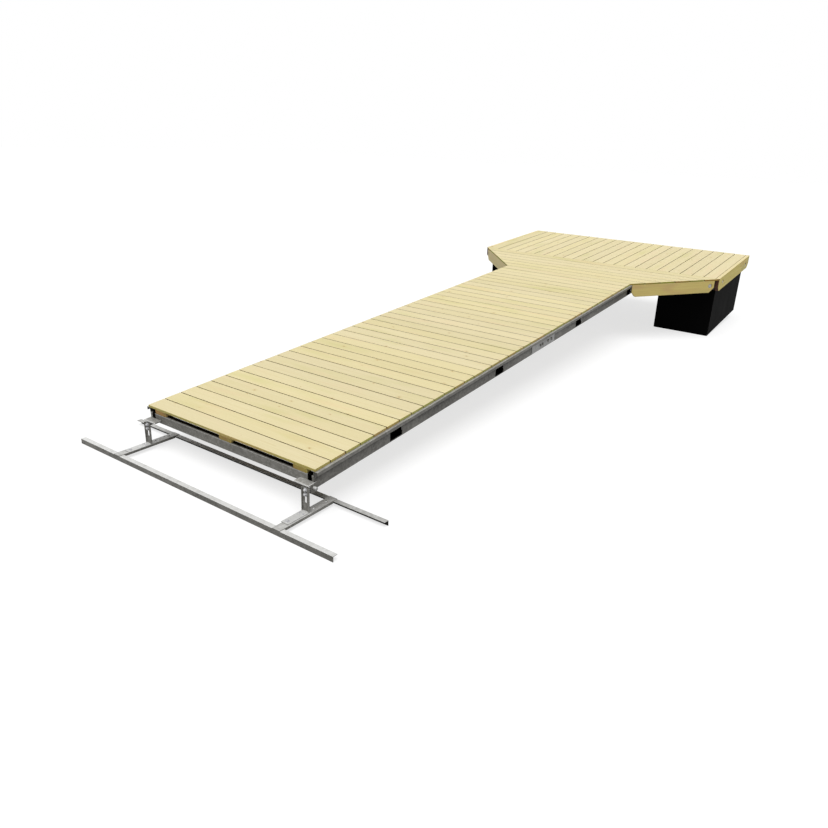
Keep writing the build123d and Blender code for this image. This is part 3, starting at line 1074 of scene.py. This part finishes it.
# What each steel node's name holds, and its material, arris and look.
STEEL_PIECES = (
    ("cross_beams", STEEL, STEEL_ARRIS, cross_beam_look),
    ("end_beam", STEEL, STEEL_ARRIS, end_beam_look),
    ("side_beam", STEEL, SIDE_BEAM_ARRIS, side_beam_look),
    ("rail", STEEL, STEEL_ARRIS, rail_look),
    ("hinge_bracket", STEEL, STEEL_ARRIS, bracket_look),
    ("outriggers", STEEL, STEEL_ARRIS, shaded_look),
    ("bearer", STEEL, STEEL_ARRIS, shaded_look),
    ("leg_", STEEL, STEEL_ARRIS, leg_look),
    ("base_bar", STEEL, STEEL_ARRIS, base_bar_look),
    ("splice_plate", BRIGHT_STEEL, PLATE_ARRIS, top_lit_look),
    ("foot_plate", BRIGHT_STEEL, PLATE_ARRIS, top_lit_look),
    ("hinge_lug", BRIGHT_STEEL, PLATE_ARRIS, top_lit_look),
    ("hinge_bolt", BRIGHT_STEEL, PLATE_ARRIS, top_lit_look),
)


def steel_piece(node, material, arris, look):
    """The CAD node's own shape with its edges rounded and its look's painted light and shade on
    each face, in place of the node.
    """
    painted_light, planes = look(node)
    shape = cad_shape(node)
    round_sharp_edges(shape, arris)
    for point, across in planes:
        bmesh.ops.bisect_plane(
            shape, geom=shape.verts[:] + shape.edges[:] + shape.faces[:], plane_co=point,
            plane_no=across,
        )
    shape.normal_update()
    layer = shape.faces.layers.float.new("painted_light")
    for face in shape.faces:
        face[layer] = painted_light(face)
    body = nodes[node]["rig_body"]
    finish_piece(f"galvanised_{node}", shape, material, body, [node])


for node in sorted(nodes):
    for held, material, arris, look in STEEL_PIECES:
        if held in node:
            steel_piece(node, material, arris, look)


# --- Floats ----------------------------------------------------------------------------------

FLOAT_EDGE = 0.012


def float_shell(side):
    """A float as a moulded box with rounded edges."""
    node = f"float_{side}"
    low, high = deck_box(node)
    size = high - low
    middle = (low + high) / 2
    shape = bmesh.new()
    bmesh.ops.create_cube(shape, size=1.0)
    for vert in shape.verts:
        vert.co = Vector([vert.co[i] * size[i] + middle[i] for i in range(3)])
    round_edges(shape, shape.edges[:], FLOAT_EDGE, segments=4)
    bmesh.ops.transform(shape, matrix=DECK, verts=shape.verts)
    finish_piece(f"float_shell_{side}", shape, FLOAT_PLASTIC, "jetty", [node])


for side, _ in SIDES:
    float_shell(side)


# --- Floor, light and camera -----------------------------------------------------------------

FLOOR_HALF = 60.0
FLOOR_GREY = (0.42, 0.42, 0.42, 1)
# What the camera sees of the floor: a soft grey that takes the shadow, and a glow that lifts it
# to white.
SHOWN_GREY = (0.34, 0.34, 0.34, 1)
SHOWN_GLOW = 0.72

LAMP_ENERGY = 2.35
LAMP_SPREAD = math.radians(50)
LAMP_DIRECTION = Vector((0.3, 0.14, -1))
SKY_STRENGTH = 0.32

# The camera in the deck's frame, its lens and sensor in millimetres.
CAMERA_PLACE = (-2.7725, -3.5970, 2.1836)
CAMERA_DEGREES = (64.979, -0.093, -54.613)
CAMERA_LENS = 30.182
CAMERA_SENSOR = 36.0
CAMERA_REACH = 200.0


def seen(tree):
    """1 for a ray that shows the background itself: from the camera, a mirror or glass."""
    path = tree.node("ShaderNodeLightPath").outputs
    either = tree.math("MAXIMUM", path["Is Camera Ray"], path["Is Glossy Ray"])
    return tree.math("MAXIMUM", either, path["Is Transmission Ray"])


def floor_material():
    """Pale floor: white to the camera, but for the object's shadow."""
    made, tree = new_material("pale_floor")
    matt = tree.node("ShaderNodeBsdfDiffuse", {"Color": FLOOR_GREY})
    soft = tree.node("ShaderNodeBsdfDiffuse", {"Color": SHOWN_GREY})
    glow = tree.node("ShaderNodeEmission", {"Color": (1, 1, 1, 1), "Strength": SHOWN_GLOW})
    shown = tree.node("ShaderNodeAddShader", {0: soft.outputs[0], 1: glow.outputs[0]})
    both = tree.node(
        "ShaderNodeMixShader", {0: seen(tree), 1: matt.outputs[0], 2: shown.outputs[0]}
    )
    tree.output(both.outputs[0])
    return made


def make_floor():
    """A floor far wider than what the camera sees."""
    half = FLOOR_HALF
    mesh = bpy.data.meshes.new("floor")
    corners = [(x, y, 0) for x, y in rectangle(-half, half, -half, half)]
    mesh.from_pydata(corners, [], [(0, 1, 2, 3)])
    mesh.materials.append(floor_material())
    floor = bpy.data.objects.new("floor", mesh)
    bpy.context.scene.collection.objects.link(floor)


def make_light():
    """A broad soft light from above, a little from the shore and the right, and an even sky,
    which is white where it is seen itself."""
    lamp = bpy.data.lights.new("studio_light", "SUN")
    lamp.energy = LAMP_ENERGY
    lamp.angle = LAMP_SPREAD
    lamp_object = bpy.data.objects.new("studio_light", lamp)
    lamp_object.rotation_euler = LAMP_DIRECTION.to_track_quat("-Z", "Y").to_euler()
    bpy.context.scene.collection.objects.link(lamp_object)
    world = bpy.data.worlds.new("studio")
    world.use_nodes = True
    bpy.context.scene.world = world
    tree = Tree(world.node_tree)
    strength = tree.span(seen(tree), 0.0, 1.0, SKY_STRENGTH, 1.0)
    sky = tree.node("ShaderNodeBackground", {"Color": (1, 1, 1, 1), "Strength": strength})
    tree.output(sky.outputs[0], "ShaderNodeOutputWorld")


def make_camera():
    """The camera, placed from the deck: beside its shore end, looking along it."""
    lens = bpy.data.cameras.new("camera")
    lens.sensor_width = CAMERA_SENSOR
    lens.lens = CAMERA_LENS
    lens.clip_end = CAMERA_REACH
    camera = bpy.data.objects.new("camera", lens)
    turn = Euler([math.radians(a) for a in CAMERA_DEGREES], "XYZ").to_matrix().to_4x4()
    camera.matrix_world = DECK @ Matrix.Translation(CAMERA_PLACE) @ turn
    bpy.context.scene.collection.objects.link(camera)
    bpy.context.scene.camera = camera


make_floor()
make_light()
make_camera()
bpy.context.scene.view_settings.view_transform = "Standard"
